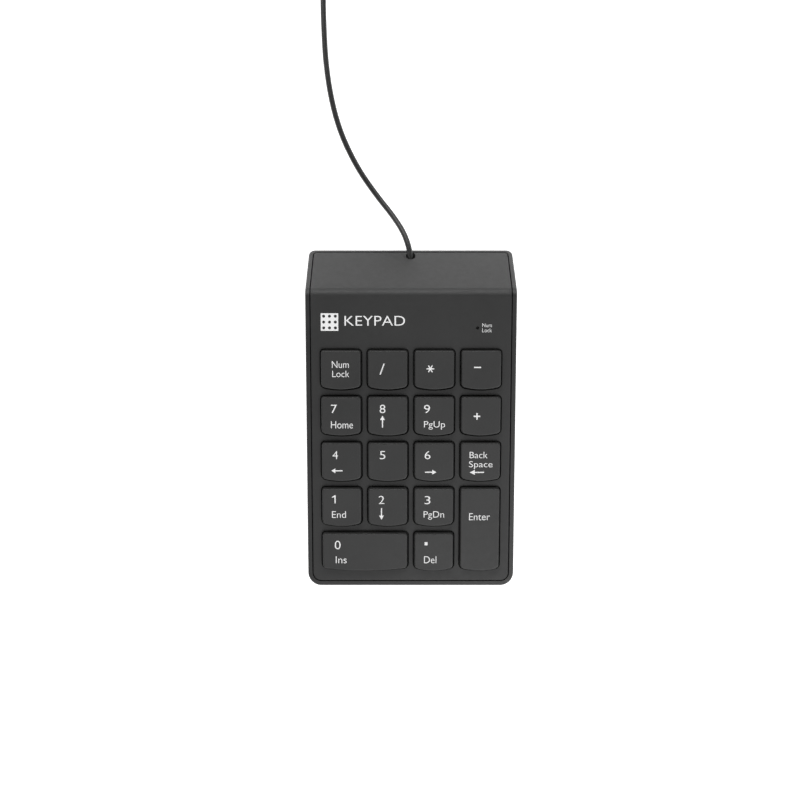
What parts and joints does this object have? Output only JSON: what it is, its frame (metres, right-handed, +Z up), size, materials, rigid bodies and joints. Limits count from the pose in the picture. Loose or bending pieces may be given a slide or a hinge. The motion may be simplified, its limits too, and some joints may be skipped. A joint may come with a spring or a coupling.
{
  "type": "numeric keypad",
  "caption": "Wired numeric keypad: a wedge-shaped case with a sloping deck of pressable keys, a steep rear face with a cable hole, and a cable wound into a tied coil with its plug.",
  "frame": {"origin": "on the table under the middle of the case, at the feet's undersides", "axes": "+X to the typist's right, +Y to the rear, where the cable leaves, +Z up"},
  "size_m": [0.086, 0.2974, 0.0269],
  "materials": {
    "case_plastic": "fine satin grain",
    "cover_plastic": "fine satin grain",
    "cap_plastic": "satin, pale printed legends",
    "frame_plastic": "plain moulded",
    "dome_rubber": "matt silicone",
    "membrane_film": "clear film",
    "sheet_steel": "zinc plated",
    "board_laminate": "green solder mask",
    "chip_resin": "matt",
    "connector_plastic": "plain moulded",
    "lamp_lens": "translucent",
    "pipe_clear": "clear",
    "pad_rubber": "matt",
    "screw_steel": "zinc plated",
    "foot_rubber": "matt",
    "wire_sleeve": "coloured sleeves",
    "cable_sleeve": "satin sleeve",
    "tie_plastic": "satin",
    "plug_rubber": "satin",
    "plug_steel": "bright nickel",
    "plug_plastic": "plain moulded",
    "contact_gold": "gold plated",
    "wire_steel": "bright spring wire"
  },
  "bodies": {
    "case": {"bottom_case": "case_plastic", "top_cover": "cover_plastic", "guide_frame": "frame_plastic", "dome_mat": "dome_rubber", "membrane_top": "membrane_film", "membrane_spacer": "membrane_film", "membrane_bottom": "membrane_film", "support_plate": "sheet_steel", "controller_board": "board_laminate", "controller_chip": "chip_resin", "wire_connector": "connector_plastic", "indicator_led": "lamp_lens", "light_pipe": "pipe_clear", "pressure_bar": "frame_plastic", "pressure_pad": "pad_rubber", "module_screws": "screw_steel", "board_screws": "screw_steel", "case_screws": "screw_steel", "feet": "foot_rubber", "cable_clamp": "frame_plastic", "clamp_screws": "screw_steel", "signal_wires": "wire_sleeve", "usb_cable": "cable_sleeve", "usb_cable_tail": "cable_sleeve", "cable_coil": "cable_sleeve", "cable_tie": "tie_plastic", "plug_overmould": "plug_rubber", "plug_shell": "plug_steel", "plug_insert": "plug_plastic", "plug_contacts": "contact_gold"},
    "key_num_lock_body": {"key_num_lock": "cap_plastic"},
    "key_divide_body": {"key_divide": "cap_plastic"},
    "key_multiply_body": {"key_multiply": "cap_plastic"},
    "key_minus_body": {"key_minus": "cap_plastic"},
    "key_7_body": {"key_7": "cap_plastic"},
    "key_8_body": {"key_8": "cap_plastic"},
    "key_9_body": {"key_9": "cap_plastic"},
    "key_plus_body": {"key_plus": "cap_plastic"},
    "key_4_body": {"key_4": "cap_plastic"},
    "key_5_body": {"key_5": "cap_plastic"},
    "key_6_body": {"key_6": "cap_plastic"},
    "key_backspace_body": {"key_backspace": "cap_plastic"},
    "key_1_body": {"key_1": "cap_plastic"},
    "key_2_body": {"key_2": "cap_plastic"},
    "key_3_body": {"key_3": "cap_plastic"},
    "key_enter_body": {"key_enter": "cap_plastic"},
    "key_0_body": {"key_0": "cap_plastic"},
    "key_decimal_body": {"key_decimal": "cap_plastic"},
    "zero_stabiliser": {"zero_stabiliser_wire": "wire_steel"},
    "enter_stabiliser": {"enter_stabiliser_wire": "wire_steel"}
  },
  "joints": [
    {"name": "key_num_lock_press", "type": "slide", "parent": "case", "child": "key_num_lock_body", "axis": [0, 0.1426, -0.9898], "range_m": [0, 0.0023], "stiffness_N_per_m": 220, "springref_m": -0.0006, "deforming": ["dome_mat"]},
    {"name": "key_divide_press", "type": "slide", "parent": "case", "child": "key_divide_body", "axis": [0, 0.1426, -0.9898], "range_m": [0, 0.0023], "stiffness_N_per_m": 220, "springref_m": -0.0006, "deforming": ["dome_mat"]},
    {"name": "key_multiply_press", "type": "slide", "parent": "case", "child": "key_multiply_body", "axis": [0, 0.1426, -0.9898], "range_m": [0, 0.0023], "stiffness_N_per_m": 220, "springref_m": -0.0006, "deforming": ["dome_mat"]},
    {"name": "key_minus_press", "type": "slide", "parent": "case", "child": "key_minus_body", "axis": [0, 0.1426, -0.9898], "range_m": [0, 0.0023], "stiffness_N_per_m": 220, "springref_m": -0.0006, "deforming": ["dome_mat"]},
    {"name": "key_7_press", "type": "slide", "parent": "case", "child": "key_7_body", "axis": [0, 0.1426, -0.9898], "range_m": [0, 0.0023], "stiffness_N_per_m": 220, "springref_m": -0.0006, "deforming": ["dome_mat"]},
    {"name": "key_8_press", "type": "slide", "parent": "case", "child": "key_8_body", "axis": [0, 0.1426, -0.9898], "range_m": [0, 0.0023], "stiffness_N_per_m": 220, "springref_m": -0.0006, "deforming": ["dome_mat"]},
    {"name": "key_9_press", "type": "slide", "parent": "case", "child": "key_9_body", "axis": [0, 0.1426, -0.9898], "range_m": [0, 0.0023], "stiffness_N_per_m": 220, "springref_m": -0.0006, "deforming": ["dome_mat"]},
    {"name": "key_plus_press", "type": "slide", "parent": "case", "child": "key_plus_body", "axis": [0, 0.1426, -0.9898], "range_m": [0, 0.0023], "stiffness_N_per_m": 220, "springref_m": -0.0006, "deforming": ["dome_mat"]},
    {"name": "key_4_press", "type": "slide", "parent": "case", "child": "key_4_body", "axis": [0, 0.1426, -0.9898], "range_m": [0, 0.0023], "stiffness_N_per_m": 220, "springref_m": -0.0006, "deforming": ["dome_mat"]},
    {"name": "key_5_press", "type": "slide", "parent": "case", "child": "key_5_body", "axis": [0, 0.1426, -0.9898], "range_m": [0, 0.0023], "stiffness_N_per_m": 220, "springref_m": -0.0006, "deforming": ["dome_mat"]},
    {"name": "key_6_press", "type": "slide", "parent": "case", "child": "key_6_body", "axis": [0, 0.1426, -0.9898], "range_m": [0, 0.0023], "stiffness_N_per_m": 220, "springref_m": -0.0006, "deforming": ["dome_mat"]},
    {"name": "key_backspace_press", "type": "slide", "parent": "case", "child": "key_backspace_body", "axis": [0, 0.1426, -0.9898], "range_m": [0, 0.0023], "stiffness_N_per_m": 220, "springref_m": -0.0006, "deforming": ["dome_mat"]},
    {"name": "key_1_press", "type": "slide", "parent": "case", "child": "key_1_body", "axis": [0, 0.1426, -0.9898], "range_m": [0, 0.0023], "stiffness_N_per_m": 220, "springref_m": -0.0006, "deforming": ["dome_mat"]},
    {"name": "key_2_press", "type": "slide", "parent": "case", "child": "key_2_body", "axis": [0, 0.1426, -0.9898], "range_m": [0, 0.0023], "stiffness_N_per_m": 220, "springref_m": -0.0006, "deforming": ["dome_mat"]},
    {"name": "key_3_press", "type": "slide", "parent": "case", "child": "key_3_body", "axis": [0, 0.1426, -0.9898], "range_m": [0, 0.0023], "stiffness_N_per_m": 220, "springref_m": -0.0006, "deforming": ["dome_mat"]},
    {"name": "key_enter_press", "type": "slide", "parent": "case", "child": "key_enter_body", "axis": [0, 0.1426, -0.9898], "range_m": [0, 0.0023], "stiffness_N_per_m": 220, "springref_m": -0.0006, "deforming": ["dome_mat"]},
    {"name": "key_0_press", "type": "slide", "parent": "case", "child": "key_0_body", "axis": [0, 0.1426, -0.9898], "range_m": [0, 0.0023], "stiffness_N_per_m": 220, "springref_m": -0.0006, "deforming": ["dome_mat"]},
    {"name": "key_decimal_press", "type": "slide", "parent": "case", "child": "key_decimal_body", "axis": [0, 0.1426, -0.9898], "range_m": [0, 0.0023], "stiffness_N_per_m": 220, "springref_m": -0.0006, "deforming": ["dome_mat"]},
    {"name": "zero_stabiliser_turn", "type": "hinge", "parent": "case", "child": "zero_stabiliser", "pos_m": [-0.01905, -0.0604, 0.00857], "axis": [-1, 0, 0], "range_deg": [0, 17.65]},
    {"name": "enter_stabiliser_turn", "type": "hinge", "parent": "case", "child": "enter_stabiliser", "pos_m": [0.02358, -0.04602, 0.01064], "axis": [0, 0.9898, 0.1426], "range_deg": [0, 17.65]}
  ],
  "couplings": [
    {"joint": "zero_stabiliser_turn", "follows": "key_0_press", "rad_per_m": 133.86},
    {"joint": "enter_stabiliser_turn", "follows": "key_enter_press", "rad_per_m": 133.86}
  ]
}
